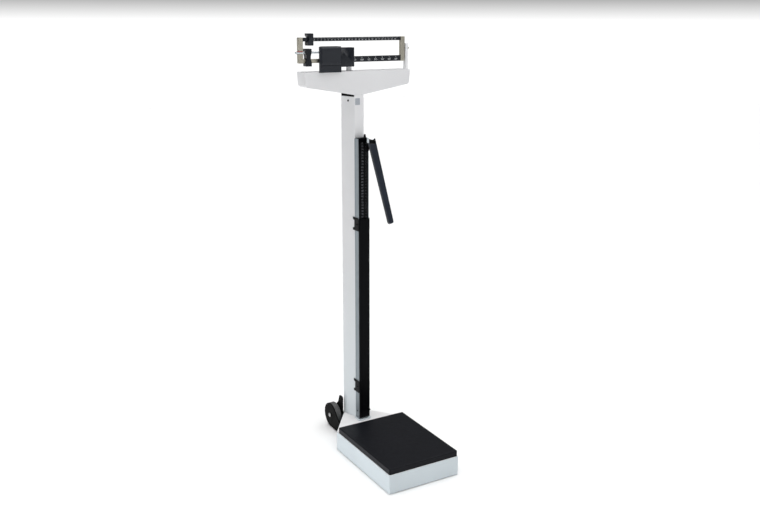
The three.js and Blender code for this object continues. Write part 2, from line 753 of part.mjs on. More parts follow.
function buildWheels() {
  const axleEnd = yoke.outer + yoke.plate + 2;
  const capEnd = axleEnd + 3;
  const tyreInner = wheel.radius - 11;
  const bore = pinX(-axleEnd, axleEnd, wheel.y, wheel.z, wheel.axle + GAP);
  add('wheel_axle', pinX(-axleEnd, axleEnd, wheel.y, wheel.z, wheel.axle), finishes.steel);
  for (const [name, side] of Object.entries(sides)) {
    const middle = side * (wheel.inner + wheel.width / 2);
    const hub = ringX(wheel.axle + GAP, tyreInner - GAP, wheel.width - 4, middle, 1);
    const [cap0, cap1] = spanOn(side, axleEnd + GAP, capEnd);
    const axleCap = pinX(cap0, cap1, wheel.y, wheel.z, wheel.axle + 2.5);
    add(`wheel_bracket_${name}`, wheelBracket(side, bore), finishes.blackPaint);
    add(`wheel_hub_${name}`, hub, finishes.blackPlastic);
    add(`tyre_${name}`, ringX(tyreInner, wheel.radius, wheel.width, middle, 3), finishes.rubber);
    add(`axle_cap_${name}`, axleCap, finishes.nickel);
  }
}

// ---------------------------------------------------------------- the whole scale

buildBase();
buildPlatform();
buildLevers();
buildColumn();
buildCap();
buildStand();
buildTrigLoop();
buildBeam();
buildLargePoise();
buildSmallPoise();
buildBalanceWeight();
buildSteelyard();
buildHeightRod();
buildSlider();
buildHeadpiece();
buildWheels();

const bounds = new THREE.Box3().setFromObject(root);
const middle = bounds.getCenter(new THREE.Vector3());
root.position.set(-middle.x, -middle.y, -bounds.min.z);

export default root;
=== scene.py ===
"""Looks of the physician beam scale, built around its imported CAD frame. Metres, +Z up.

Most nodes are rebuilt as the same shape with rounded edges, and the pieces that carry the
detail, such as the poises, scales, wheels, screws and threads, are modelled in full.
"""

import json
import math

import bmesh
import bpy
from mathutils import Matrix, Vector


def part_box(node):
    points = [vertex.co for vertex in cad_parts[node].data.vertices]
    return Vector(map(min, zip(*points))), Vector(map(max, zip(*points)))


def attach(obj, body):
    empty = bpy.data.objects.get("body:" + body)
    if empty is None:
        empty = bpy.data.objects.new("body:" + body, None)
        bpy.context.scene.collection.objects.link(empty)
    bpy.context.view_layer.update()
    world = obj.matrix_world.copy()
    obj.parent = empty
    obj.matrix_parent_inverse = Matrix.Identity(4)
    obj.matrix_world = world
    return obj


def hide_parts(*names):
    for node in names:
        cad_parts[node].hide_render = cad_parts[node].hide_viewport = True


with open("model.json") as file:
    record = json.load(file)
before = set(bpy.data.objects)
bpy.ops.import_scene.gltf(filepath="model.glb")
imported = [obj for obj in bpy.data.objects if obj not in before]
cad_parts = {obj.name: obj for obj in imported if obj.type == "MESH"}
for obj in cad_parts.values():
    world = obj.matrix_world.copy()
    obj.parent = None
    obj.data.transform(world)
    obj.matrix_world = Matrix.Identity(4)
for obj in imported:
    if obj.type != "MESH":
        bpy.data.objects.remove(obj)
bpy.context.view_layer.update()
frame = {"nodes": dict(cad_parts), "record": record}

MM = 0.001
SIDES = {"left": -1, "right": 1}
BODY_OF = {n: b for b, nodes in frame["record"]["behaviour"]["bodies"].items() for n in nodes}
SLOT_OF = {s["node"]: s["material_slot"] for s in frame["record"]["subparts"]}


# ---------------------------------------------------------------- materials


class Nodes:
    """A material's node tree, with one short call for each kind of node that is used here."""

    def __init__(self, name):
        self.material = bpy.data.materials.new(name)
        self.material.use_nodes = True
        self.tree = self.material.node_tree
        self.shader = self.tree.nodes["Principled BSDF"]

    def link(self, source, target):
        self.tree.links.new(source, target)

    def position(self, scale=(1, 1, 1)):
        place = self.tree.nodes.new("ShaderNodeTexCoord")
        mapping = self.tree.nodes.new("ShaderNodeMapping")
        mapping.inputs["Scale"].default_value = scale
        self.link(place.outputs["Object"], mapping.inputs["Vector"])
        return mapping.outputs["Vector"]

    def noise(self, scale, detail=3.0, roughness=0.5, stretch=(1, 1, 1)):
        noise = self.tree.nodes.new("ShaderNodeTexNoise")
        noise.inputs["Scale"].default_value = scale
        noise.inputs["Detail"].default_value = detail
        noise.inputs["Roughness"].default_value = roughness
        self.link(self.position(stretch), noise.inputs["Vector"])
        return noise.outputs["Fac"]

    def cells(self, scale, feature="F1"):
        cells = self.tree.nodes.new("ShaderNodeTexVoronoi")
        cells.feature = feature
        cells.inputs["Scale"].default_value = scale
        self.link(self.position(), cells.inputs["Vector"])
        return cells.outputs["Distance"]

    def height(self, start, end):
        """0 below the height start, and 1 above the height end."""
        split = self.tree.nodes.new("ShaderNodeSeparateXYZ")
        self.link(self.position(), split.inputs["Vector"])
        return self.remap(split.outputs["Z"], 0, 1, start, end)

    def remap(self, value, low, high, start=0.3, end=0.7):
        remap = self.tree.nodes.new("ShaderNodeMapRange")
        remap.inputs["From Min"].default_value = start
        remap.inputs["From Max"].default_value = end
        remap.inputs["To Min"].default_value = low
        remap.inputs["To Max"].default_value = high
        self.link(value, remap.inputs["Value"])
        return remap.outputs["Result"]

    def mix(self, factor, first, second):
        """first and second are each a colour or another node's colour output."""
        mix = self.tree.nodes.new("ShaderNodeMix")
        mix.data_type = "RGBA"
        self.link(factor, mix.inputs["Factor"])
        for socket, value in zip((mix.inputs["A"], mix.inputs["B"]), (first, second)):
            self.fill(self.colour_socket(mix, socket.name), value)
        return next(o for o in mix.outputs if o.type == "RGBA")

    def colour_socket(self, node, name):
        return next(s for s in node.inputs if s.name == name and s.type == "RGBA")

    def fill(self, socket, value):
        if isinstance(value, bpy.types.NodeSocket):
            self.link(value, socket)
        else:
            socket.default_value = (*value, 1.0)

    def bump(self, height, strength, distance, under=None):
        bump = self.tree.nodes.new("ShaderNodeBump")
        bump.inputs["Strength"].default_value = strength
        bump.inputs["Distance"].default_value = distance
        self.link(height, bump.inputs["Height"])
        if under is not None:
            self.link(under, bump.inputs["Normal"])
        return bump.outputs["Normal"]

    def edges(self, start, end):
        """0 on flat faces, up to 1 where the surface turns over an edge."""
        geometry = self.tree.nodes.new("ShaderNodeNewGeometry")
        return self.remap(geometry.outputs["Pointiness"], 0.0, 1.0, start, end)

    def colour(self, value):
        self.fill(self.shader.inputs["Base Color"], value)

    def set(self, **values):
        for name, value in values.items():
            self.shader.inputs[name.replace("_", " ")].default_value = value

    def drive(self, name, source):
        self.link(source, self.shader.inputs[name])


def scaled(colour, factor):
    return tuple(min(1.0, c * factor) for c in colour)


def enamel(name, colour, peel=0.05, roughness=(0.32, 0.4), edge_colour=None, gloss=0.5, floor_shade_colour=None):
    """Sprayed and baked paint: an orange peel skin, faint cloudiness and edges a little lighter than the
    faces.

    A tall piece given a floor colour turns to it towards the floor: painted shade, darker and bluer low down,
    standing in for the dimmer light there.
    """
    n = Nodes(name)
    cloudy = n.mix(n.remap(n.noise(7, 4), 0, 1), scaled(colour, 0.975), scaled(colour, 1.015))
    # Painted shade: below 0.75 m the colour runs to the floor colour, standing in for dimmer light near the
    # floor.
    if floor_shade_colour is not None:
        cloudy = n.mix(n.height(0.1, 0.75), floor_shade_colour, cloudy)
    specks = n.remap(n.noise(900, 2), 0, 1, 0.66, 0.74)
    speckled = n.mix(specks, cloudy, scaled(colour, 0.9))
    # The edges are a little lighter than the flat faces.
    edge_lightened = n.mix(n.edges(0.52, 0.62), speckled, edge_colour or scaled(colour, 1.06))
    n.colour(edge_lightened)
    n.drive("Roughness", n.remap(n.noise(35, 4), *roughness))
    fine = n.bump(n.noise(1400, 2, 0.4), peel, 0.0002)
    n.drive("Normal", n.bump(n.noise(260, 2, 0.5), peel, 0.0006, fine))
    n.set(Specular_IOR_Level=gloss)
    return n.material


def rubber(name, colour, grain=1500, depth=0.25, roughness=(0.42, 0.55), gloss=0.2):
    """Moulded rubber: a fine pebbled grain with paler dust caught in it."""
    n = Nodes(name)
    pebble = n.cells(grain)
    dusty = n.mix(n.remap(n.noise(18, 5), 0, 1), colour, scaled(colour, 1.5))
    n.colour(n.mix(n.remap(pebble, 0, 1, 0.1, 0.9), dusty, scaled(colour, 0.75)))
    n.drive("Roughness", n.remap(n.noise(60, 4), *roughness))
    grainy = n.bump(pebble, depth, 0.0003)
    n.drive("Normal", n.bump(n.noise(120, 3), 0.05, 0.0008, grainy))
    n.set(Specular_IOR_Level=gloss)
    return n.material


def metal(name, colour, along=(1, 1, 1), roughness=(0.26, 0.38), scratch=0.12, tarnish=0.82):
    """Plated, drawn or brushed metal: fine lines, stretched by along, and soft tarnish."""
    n = Nodes(name)
    lines = n.noise(900, 3, 0.6, along)
    stained = n.mix(n.remap(n.noise(40, 5), 0, 1, 0.45, 0.7), colour, scaled(colour, tarnish))
    n.colour(n.mix(n.remap(lines, 0, 1, 0.35, 0.65), stained, scaled(colour, 1.08)))
    n.drive("Roughness", n.remap(n.noise(25, 4), *roughness))
    n.drive("Normal", n.bump(lines, scratch, 0.0002))
    n.set(Metallic=1.0)
    return n.material


def plastic(name, colour, roughness=(0.3, 0.42), grain=0.1, gloss=0.2):
    """Satin plastic or anodised black: a fine spark-eroded grain and slight sheen changes."""
    n = Nodes(name)
    n.colour(n.mix(n.remap(n.noise(22, 4), 0, 1), scaled(colour, 0.85), scaled(colour, 1.25)))
    n.drive("Roughness", n.remap(n.noise(48, 4), *roughness))
    fine = n.bump(n.noise(2200, 2), grain, 0.0002)
    n.drive("Normal", n.bump(n.noise(90, 2), 0.04, 0.0006, fine))
    n.set(Specular_IOR_Level=gloss)
    return n.material


def casting(name, colour):
    """Primed sand casting: lumpy, rough and dull."""
    n = Nodes(name)
    n.colour(n.mix(n.remap(n.noise(60, 6), 0, 1), scaled(colour, 0.7), scaled(colour, 1.4)))
    n.drive("Roughness", n.remap(n.noise(90, 4), 0.55, 0.8))
    n.drive("Normal", n.bump(n.noise(500, 5, 0.7), 0.5, 0.0006))
    return n.material


def ink(name, colour):
    """Printed or filled markings, a little uneven."""
    n = Nodes(name)
    n.colour(n.mix(n.remap(n.noise(700, 3), 0, 1), scaled(colour, 0.82), colour))
    n.drive("Roughness", n.remap(n.noise(300, 2), 0.45, 0.6))
    return n.material


WHITE = (0.80, 0.805, 0.82)
BLUE_GREY = (0.60, 0.665, 0.70)

MATERIALS = {
    # Painted shade: the white enamel turns darker and bluer towards the floor.
    "white_enamel": enamel("White_Enamel_Floor_Shaded", WHITE, floor_shade_colour=(0.56, 0.63, 0.66)),
    "grey_enamel": enamel("Grey_Enamel", BLUE_GREY, peel=0.08, roughness=(0.4, 0.5)),
    "foot_rubber": rubber("Foot_Rubber", (0.02, 0.02, 0.021)),
    "mat_rubber": rubber(
        "Mat_Rubber", (0.005, 0.0055, 0.008), depth=0.15, roughness=(0.34, 0.44), gloss=0.12
    ),
    "cast_iron": casting("Primed_Casting", (0.05, 0.05, 0.055)),
    "steel": metal("Plain_Steel", (0.55, 0.55, 0.56)),
    "nickel_plate": metal(
        "Satin_Nickel", (0.40, 0.38, 0.32), along=(1, 1, 0.08), roughness=(0.4, 0.5), scratch=0.06
    ),
    "black_enamel": enamel(
        "Black_Enamel", (0.006, 0.008, 0.012), peel=0.08, roughness=(0.2, 0.28),
        edge_colour=(0.02, 0.023, 0.03), gloss=0.22
    ),
    "aluminium_rod": metal(
        "Drawn_Aluminium", (0.25, 0.285, 0.31), along=(1, 1, 0.01), roughness=(0.32, 0.42)
    ),
    "black_rod": plastic("Black_Rod", (0.0015, 0.0018, 0.0026), gloss=0.06),
    "bracket_black": enamel(
        "Bracket_Powder_Coat", (0.002, 0.002, 0.0021), peel=0.12, roughness=(0.5, 0.6), gloss=0.05
    ),
    "wheel_plastic": plastic("Wheel_Plastic", (0.008, 0.008, 0.008)),
    "wheel_tyre": rubber("Tyre_Rubber", (0.1, 0.1, 0.102), grain=900, roughness=(0.4, 0.55), gloss=0.4),
}
MARKING = ink("White_Marking", (0.72, 0.74, 0.76))
DIM_MARKING = ink("Grey_Marking", (0.16, 0.17, 0.19))
ARM_PLASTIC = plastic("Arm_Anodised", (0.014, 0.018, 0.028), roughness=(0.3, 0.4))
LABEL = ink("Blank_Label", (0.42, 0.45, 0.5))
TOP_ENAMEL = enamel("Base_Top_Enamel", (0.80, 0.79, 0.795))
BRIGHT_STEEL = metal("Bright_Steel", (0.58, 0.63, 0.66), roughness=(0.3, 0.4))
CAP_STEEL = metal("Cap_Steel", (0.5, 0.5, 0.5), roughness=(0.3, 0.4))
STRIPE = ink("Red_Stripe", (0.35, 0.02, 0.03))


# ---------------------------------------------------------------- mesh helpers


def finish_mesh(bm, name, body, slot, material=None, replaces=(), smooth=35):
    """Turns a bmesh into a shaded piece that rides on a CAD body."""
    bmesh.ops.recalc_face_normals(bm, faces=bm.faces)
    mesh = bpy.data.meshes.new(name)
    bm.to_mesh(mesh)
    bm.free()
    mesh.polygons.foreach_set("use_smooth", [True] * len(mesh.polygons))
    mesh.set_sharp_from_angle(angle=math.radians(smooth))
    piece = bpy.data.objects.new(name, mesh)
    bpy.context.scene.collection.objects.link(piece)
    weighted = piece.modifiers.new("weighted normals", "WEIGHTED_NORMAL")
    weighted.keep_sharp = True
    mesh.materials.append(material or MATERIALS[slot])
    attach(piece, body)
    if replaces:
        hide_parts(*replaces)
    return piece


def sharp_edges(bm, angle=25):
    limit = math.radians(angle)
    return [e for e in bm.edges if len(e.link_faces) == 2 and e.calc_face_angle(0) > limit]


def bevel(bm, width, segments=3, edges=None):
    bmesh.ops.bevel(
        bm,
        geom=sharp_edges(bm) if edges is None else edges,
        offset=width,
        offset_type="OFFSET",
        segments=segments,
        profile=0.5,
        affect="EDGES",
        clamp_overlap=True,
    )


def node_bmesh(node):
    """The node's own solid as clean flat faces."""
    bm = bmesh.new()
    bm.from_mesh(frame["nodes"][node].data)
    bmesh.ops.remove_doubles(bm, verts=bm.verts, dist=0.01 * MM)
    bmesh.ops.dissolve_limit(bm, angle_limit=math.radians(1), verts=bm.verts, edges=bm.edges)
    return bm


def crisp(node, width, segments=3, material=None):
    """The node's exact shape with its edges rounded over, in place of the node."""
    bm = node_bmesh(node)
    bevel(bm, width * MM, segments)
    return finish_mesh(bm, node + "_body", BODY_OF[node], SLOT_OF[node], material, (node,))


AXES = {"x": (1, 2, 0), "y": (0, 2, 1), "z": (0, 1, 2)}


def placed(u, v, w, axis):
    """The point whose outline coordinates are u and v, and which lies w along axis."""
    point = [0.0, 0.0, 0.0]
    for index, value in zip(AXES[axis], (u, v, w)):
        point[index] = value
    return Vector(point)


def add_prism(bm, outline, low, high, axis):
    """Adds a closed prism to bm and returns its faces."""
    first = [bm.verts.new(placed(u, v, low, axis)) for u, v in outline]
    last = [bm.verts.new(placed(u, v, high, axis)) for u, v in outline]
    faces = [bm.faces.new(first), bm.faces.new(list(reversed(last)))]
    for i in range(len(outline)):
        j = (i + 1) % len(outline)
        faces.append(bm.faces.new((first[i], first[j], last[j], last[i])))
    return faces


def add_block(bm, low, high):
    return add_prism(bm, [(low[0], low[1]), (high[0], low[1]), (high[0], high[1]), (low[0], high[1])],
                     low[2], high[2], "z")


def add_lathe(bm, profile, axis, centre, steps=48):
    """Adds a turned solid: profile is (radius, place along axis), from one end to the other."""
    centre = Vector(centre)
    rings = []
    for radius, along in profile:
        if radius < 1e-7:
            rings.append([bm.verts.new(centre + placed(0, 0, along, axis))])
            continue
        ring = []
        for i in range(steps):
            turn = 2 * math.pi * i / steps
            spot = placed(radius * math.cos(turn), radius * math.sin(turn), along, axis)
            ring.append(bm.verts.new(centre + spot))
        rings.append(ring)
    for lower, upper in zip(rings, rings[1:]):
        for i in range(steps):
            j = (i + 1) % steps
            corners = (lower[i % len(lower)], lower[j % len(lower)],
                       upper[j % len(upper)], upper[i % len(upper)])
            bm.faces.new(dict.fromkeys(corners))
    for ring in (rings[0], rings[-1]):
        if len(ring) > 1:
            bm.faces.new(ring)


def arc(centre_u, centre_v, radius, start, end, steps):
    """Points on an arc, angles in degrees."""
    turns = [math.radians(start + (end - start) * i / steps) for i in range(steps + 1)]
    return [(centre_u + radius * math.cos(t), centre_v + radius * math.sin(t)) for t in turns]


def rounded_outline(points, radius, steps=4):
    """The outline with each corner replaced by a curve that starts radius away from it."""
    result = []
    for i, corner in enumerate(points):
        here = Vector(corner)
        before = Vector(points[i - 1])
        after = Vector(points[(i + 1) % len(points)])
        start = here + (before - here).normalized() * radius
        end = here + (after - here).normalized() * radius
        for k in range(steps + 1):
            t = k / steps
            spot = start * (1 - t) ** 2 + here * 2 * t * (1 - t) + end * t ** 2
            result.append((spot.x, spot.y))
    return result


def carve(piece, *cutters):
    """Cuts the cutter meshes out of the piece, then removes them."""
    for cutter in cutters:
        cut = piece.modifiers.new("cut", "BOOLEAN")
        cut.operation = "DIFFERENCE"
        cut.solver = "EXACT"
        cut.object = cutter
    bpy.context.view_layer.update()
    graph = bpy.context.evaluated_depsgraph_get()
    carved = bpy.data.meshes.new_from_object(piece.evaluated_get(graph))
    for modifier in [m for m in piece.modifiers if m.type == "BOOLEAN"]:
        piece.modifiers.remove(modifier)
    piece.data = carved
    for cutter in cutters:
        bpy.data.objects.remove(cutter)


def cutter_from(bm):
    bmesh.ops.recalc_face_normals(bm, faces=bm.faces)
    mesh = bpy.data.meshes.new("cutter")
    bm.to_mesh(mesh)
    bm.free()
    cutter = bpy.data.objects.new("cutter", mesh)
    bpy.context.scene.collection.objects.link(cutter)
    return cutter


def lettering(entries, name, body, slot, material, depth=0.15 * MM):
    """One mesh of numbers on a face that looks along -Y. Each entry is (text, size, x, y, z)."""
    joined = bmesh.new()
    for text, size, x, y, z in entries:
        curve = bpy.data.curves.new("digits", "FONT")
        curve.body = text
        curve.size = size
        curve.extrude = depth
        curve.resolution_u = 3
        curve.align_x = "CENTER"
        curve.align_y = "CENTER"
        holder = bpy.data.objects.new("digits", curve)
        bpy.context.scene.collection.objects.link(holder)
        bpy.context.view_layer.update()
        mesh = bpy.data.meshes.new_from_object(holder.evaluated_get(bpy.context.evaluated_depsgraph_get()))
        mesh.transform(Matrix.Translation((x, y, z)) @ Matrix.Rotation(math.pi / 2, 4, "X"))
        joined.from_mesh(mesh)
        bpy.data.objects.remove(holder)
        bpy.data.curves.remove(curve)
        bpy.data.meshes.remove(mesh)
    return finish_mesh(joined, name, body, slot, material)


def screw(name, body, place, axis, outwards, radius, height, slot="steel"):
    """A pan-head screw with a cross recess, whose head rises from place."""
    bm = bmesh.new()
    dome = [(radius, 0.0), (radius, 0.35 * height)]
    dome += [(radius * math.cos(t), height * (0.35 + 0.65 * math.sin(t)))
             for t in (math.radians(a) for a in (15, 30, 45, 60, 75))]
    dome.append((0.0, height))
    sunk = [(0.0, -0.3 * height), (radius * 0.9, -0.3 * height)]
    add_lathe(bm, [(r, outwards * h) for r, h in sunk + dome], axis, place, 32)
    piece = finish_mesh(bm, name, body, slot)
    width, deep = radius * 0.16, height * 0.55
    low, high = sorted((outwards * (height - deep), outwards * height * 1.5))
    cutters = []
    for across, along in ((width, radius * 0.62), (radius * 0.62, width)):
        plan = [(-across, -along), (across, -along), (across, along), (-across, along)]
        tool = bmesh.new()
        add_prism(tool, plan, low, high, axis)
        bmesh.ops.translate(tool, verts=tool.verts, vec=place)
        cutters.append(cutter_from(tool))
    carve(piece, *cutters)
    return piece


# A screw head's radius and height.
CASE_SCREW = (3 * MM, 1.8 * MM)
SMALL_SCREW = (2.6 * MM, 1.2 * MM)
CLIP_SCREW = (3.4 * MM, 1.8 * MM)


def size_of(node):
    low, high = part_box(node)
    return low, high, (low + high) / 2


# ---------------------------------------------------------------- base and platform


def build_base():
    shell = crisp("base_shell", 2.2, 4)
    shell.data.materials.append(TOP_ENAMEL)
    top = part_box("base_shell")[1].z
    facing_up, top_band, top_paint = 0.9, 1 * MM, 1
    for face in shell.data.polygons:
        if face.normal.z > facing_up and face.center.z > top - top_band:
            face.material_index = top_paint
    for node in ("foot_front_left", "foot_front_right", "foot_rear_left", "foot_rear_right", "foot_neck"):
        low, high, middle = size_of(node)
        radius = (high.x - low.x) / 2
        bm = bmesh.new()
        profile = [(0, 0), (radius - 1.6 * MM, 0), (radius - 0.5 * MM, 0.4 * MM), (radius, 1.1 * MM),
                   (radius, high.z), (0, high.z)]
        add_lathe(bm, profile, "z", (middle.x, middle.y, 0), 40)
        finish_mesh(bm, node + "_pad", BODY_OF[node], "foot_rubber", replaces=(node,))


def build_platform():
    """The plate, and a mat that wraps its top and its edges."""
    crisp("platform_plate", 1.2, 2)
    low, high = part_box("platform_mat")
    corner, edge, wall, sheet = 5 * MM, 3.2 * MM, 3 * MM, 4 * MM
    ceiling = high.z - sheet
    bm = bmesh.new()
    outside = rectangle_ring(low.x, high.x, low.y, high.y, corner)
    inside = rectangle_ring(low.x + wall, high.x - wall, low.y + wall, high.y - wall, corner - wall)
    rings = [ring_at(bm, inside, ceiling), ring_at(bm, inside, low.z), ring_at(bm, outside, low.z)]
    for spot in arc(-edge, high.z - edge, edge, 0, 90, 5):
        inset = -spot[0]
        around = rectangle_ring(low.x + inset, high.x - inset, low.y + inset, high.y - inset, corner - inset)
        rings.append(ring_at(bm, around, spot[1]))
    bridge(bm, rings)
    bm.faces.new(rings[0])
    bm.faces.new(rings[-1])
    finish_mesh(bm, "mat_cover", BODY_OF["platform_mat"], "mat_rubber", replaces=("platform_mat",))


def rectangle_ring(x0, x1, y0, y1, radius, steps=8):
    """Points round a rectangle with round corners, anticlockwise."""
    radius = max(radius, 0.5 * MM)
    points = []
    for cx, cy, start in ((x1 - radius, y1 - radius, 0), (x0 + radius, y1 - radius, 90),
                          (x0 + radius, y0 + radius, 180), (x1 - radius, y0 + radius, 270)):
        points += arc(cx, cy, radius, start, start + 90, steps)
    return points


def ring_at(bm, points, z):
    return [bm.verts.new((x, y, z)) for x, y in points]


def bridge(bm, rings):
    for lower, upper in zip(rings, rings[1:]):
        for i in range(len(lower)):
            j = (i + 1) % len(lower)
            bm.faces.new((lower[i], lower[j], upper[j], upper[i]))


def build_levers():
    for node in ("long_lever", "short_lever", "lever_post_front_left", "lever_post_front_right",
                 "lever_post_rear_left", "lever_post_rear_right"):
        crisp(node, 1.2, 2)


# ---------------------------------------------------------------- column and cap


def build_gap_shade_strips():
    """Dark strips in the gaps between the cap and the low side walls of the column: painted shade, standing
    in for the shadow inside those gaps.
    """
    low, high, middle = size_of("column_shell")
    rear_half, front_half = (high.x - low.x) / 2, 17 * MM
    flare = (rear_half - front_half) / (high.y - low.y)
    wall_top, cap_slope, width = high.z - 5.8 * MM, 0.165, 3 * MM
    for name, sign in SIDES.items():
        ends = []
        for y in (low.y + 4 * MM, high.y - 1 * MM):
            outer = front_half + flare * (y - low.y) - 0.4 * MM
            ends.append(((outer, y), (outer - width, y)))
        plan = [ends[0][0], ends[0][1], ends[1][1], ends[1][0]]
        bm = bmesh.new()
        foot = [bm.verts.new((middle.x + sign * x, y, wall_top)) for x, y in plan]
        head = []
        for x, y in plan:
            head.append(bm.verts.new((middle.x + sign * x, y, high.z + cap_slope * (x - front_half))))
        bridge(bm, [foot, head])
        bm.faces.new(foot)
        bm.faces.new(head)
        bevel(bm, 0.1 * MM, 1)
        # Painted shade: a black strip where the gap would lie in shadow.
        finish_mesh(bm, f"gap_shade_strip_{name}", "stand", "black_rod")


def build_column():
    crisp("column_shell", 0.7, 3)
    crisp("column_lid", 0.4, 2)
    crisp("column_back_cover", 0.4, 2)
    crisp("cap_sleeve", 0.6, 2)
    low, high, middle = size_of("column_back_cover")
    rows, margin = 5, 25 * MM
    for i in range(rows):
        z = low.z + margin + i * (high.z - low.z - 2 * margin) / (rows - 1)
        screw(f"back_cover_screw_{i}", "stand", (middle.x, high.y, z), "y", 1, *CASE_SCREW)
    for name in SIDES:
        crisp(f"column_screw_{name}", 0.7, 3, MATERIALS["black_rod"])
    build_label(middle.x - 6 * MM, low.z + 1111 * MM)


def build_label(x, bottom):
    """A blank label with round corners, stuck on the column's front."""
    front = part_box("column_shell")[0].y
    half, top = 9 * MM, bottom + 22 * MM
    corners = [(x - half, bottom), (x + half, bottom), (x + half, top), (x - half, top)]
    label = bmesh.new()
    add_prism(label, rounded_outline(corners, 1.5 * MM), front - 0.15 * MM, front + 0.1 * MM, "y")
    finish_mesh(label, "blank_label", "stand", "white_enamel", LABEL)


def build_cap():
    crisp("cap_housing", 1.4, 4)
    crisp("cap_back_cover", 0.4, 2)
    low, high, middle = size_of("cap_back_cover")
    margin = 20 * MM
    for name, side in SIDES.items():
        x = middle.x + side * ((high.x - low.x) / 2 - margin)
        screw(f"cap_screw_{name}", "stand", (x, high.y, high.z - margin), "y", 1, *CASE_SCREW)
    crisp("fulcrum_stand", 0.6, 2, MATERIALS["white_enamel"])
    crisp("fulcrum_bearing", 0.4, 2)
    crisp("trig_loop", 0.7, 3)


# ---------------------------------------------------------------- beam

# How far printed marks stand proud of their face, and how deep they are sunk in it.
PROUD = 0.12 * MM
SUNK = 0.1 * MM


def ticks(name, spots, height_from, front, width):
    """Upright marks on a face that looks along -Y. Each spot is (x, length), from height_from upwards."""
    bm = bmesh.new()
    for x, length in spots:
        add_block(bm, (x - width / 2, front - PROUD, height_from),
                  (x + width / 2, front + SUNK, height_from + length))
    return finish_mesh(bm, name, "beam", "black_enamel", MARKING)


def build_bars():
    for node in ("beam_upper_bar", "beam_lower_bar"):
        crisp(node, 0.35, 2)
    crisp("beam_tail_bar", 0.8, 3)
    build_upper_scale()
    build_lower_scale()


def build_upper_scale():
    """A tick every 2.5 mm, and a longer one with a number at every fifth."""
    low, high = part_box("beam_upper_bar")
    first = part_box("small_poise")[1].x + 6 * MM
    pitch, group = 2.5 * MM, 5
    face, digits, baseline = low.y - 0.02 * MM, 6.2 * MM, low.z + 3.8 * MM
    spots, numbers = [], []
    for i in range(int((high.x - 8 * MM - first) / pitch) + 1):
        x = first + i * pitch
        spots.append((x, (1.2 if i % group else 2.4) * MM))
        if i % group == 0 and x < high.x - 12 * MM:
            numbers.append((str(i // group), digits, x, face, baseline))
    ticks("upper_bar_ticks", spots, high.z - 3.4 * MM, low.y, 0.5 * MM)
    lettering(numbers, "upper_bar_numbers", "beam", "black_enamel", MARKING)


def build_lower_scale():
    """Numbers in steps of 50 with a tick above each, at the pitch of the bar's notches."""
    low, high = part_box("beam_lower_bar")
    first = size_of("column_shell")[2].x - 12 * MM
    count, pitch, step = 7, 26 * MM, 50
    face, digits, baseline = low.y - 0.02 * MM, 7.6 * MM, low.z + 6.6 * MM
    numbers, marks = [], []
    for i in range(count):
        x = first + i * pitch
        if x < high.x - 12 * MM:
            numbers.append((str(step * (i + 1)), digits, x, face, baseline))
            marks.append((x, 3.6 * MM))
    lettering(numbers, "lower_bar_numbers", "beam", "black_enamel", MARKING)
    ticks("lower_bar_ticks", marks, high.z - 6.6 * MM, low.y, 0.9 * MM)


def build_brackets():
    crisp("beam_bracket_left", 1.6, 4)
    crisp("beam_bracket_right", 1.6, 4)
    crisp("balance_rod_lug", 0.5, 2)
    crisp("fulcrum_knife", 0.2, 1)
    crisp("load_knife", 0.2, 1)


def build_pointer():
    low, high, middle = size_of("beam_pointer")
    radius = 2.4 * MM
    knob = (high.z - low.z) / 2
    bm = bmesh.new()
    length = high.x - low.x
    profile = [(0, 0), (radius, 0), (radius, length - 5 * MM), (knob - 0.6 * MM, length - 4.4 * MM),
               (knob, length - 3.6 * MM), (knob, length - 1.2 * MM), (knob - 1.1 * MM, length), (0, length)]
    add_lathe(bm, profile, "x", (low.x, middle.y, middle.z), 32)
    finish_mesh(bm, "pointer_pin", "beam", "nickel_plate", replaces=("beam_pointer",))


def build_balance_rod():
    """A real screw thread, as rows of points whose radius follows the helix."""
    low, high, middle = size_of("balance_rod")
    root, crest, pitch, steps = 2.9 * MM, 3.4 * MM, 1.25 * MM, 14
    low.x += 4 * MM
    rows = int((high.x - low.x) / (pitch / 4))
    bm = bmesh.new()
    rings = []
    for r in range(rows + 1):
        x = low.x + (high.x - low.x) * r / rows
        ring = []
        for i in range(steps):
            turn = 2 * math.pi * i / steps
            phase = (x - low.x) / pitch - i / steps
            ridge = abs((phase % 1.0) * 2 - 1)
            radius = root + (crest - root) * ridge
            y, z = middle.y + radius * math.cos(turn), middle.z + radius * math.sin(turn)
            ring.append(bm.verts.new((x, y, z)))
        rings.append(ring)
    bridge(bm, rings)
    bm.faces.new(rings[0])
    bm.faces.new(rings[-1])
    finish_mesh(bm, "balance_thread", "beam", "steel", BRIGHT_STEEL, ("balance_rod",), 60)
    build_keeper(low.x, middle)


def build_keeper(left, middle):
    """The half-round keeper of the threaded rod on the left bracket's front, with its red stripe."""
    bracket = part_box("beam_bracket_left")
    right, face = bracket[1].x + 0.3 * MM, bracket[0].y
    radius = 4 * MM
    keeper = bmesh.new()
    outline = arc(face + 1 * MM, middle.z, radius, 90, 270, 10)
    add_prism(keeper, outline, left, right, "x")
    bevel(keeper, 0.5 * MM, 2)
    finish_mesh(keeper, "balance_rod_keeper", "beam", "steel", BRIGHT_STEEL)
    stripe = bmesh.new()
    add_block(stripe, (left + 3 * MM, face - radius * 0.75, middle.z + radius * 0.68),
              (right - 2 * MM, face + 1 * MM, middle.z + radius * 1.15))
    bevel(stripe, 0.3 * MM, 2)
    finish_mesh(stripe, "balance_rod_stripe", "beam", "steel", STRIPE)


# ---------------------------------------------------------------- poises


def apron_rear():
    """The rear of a poise's apron, just in front of the cap."""
    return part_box("cap_housing")[0].y - 1 * MM


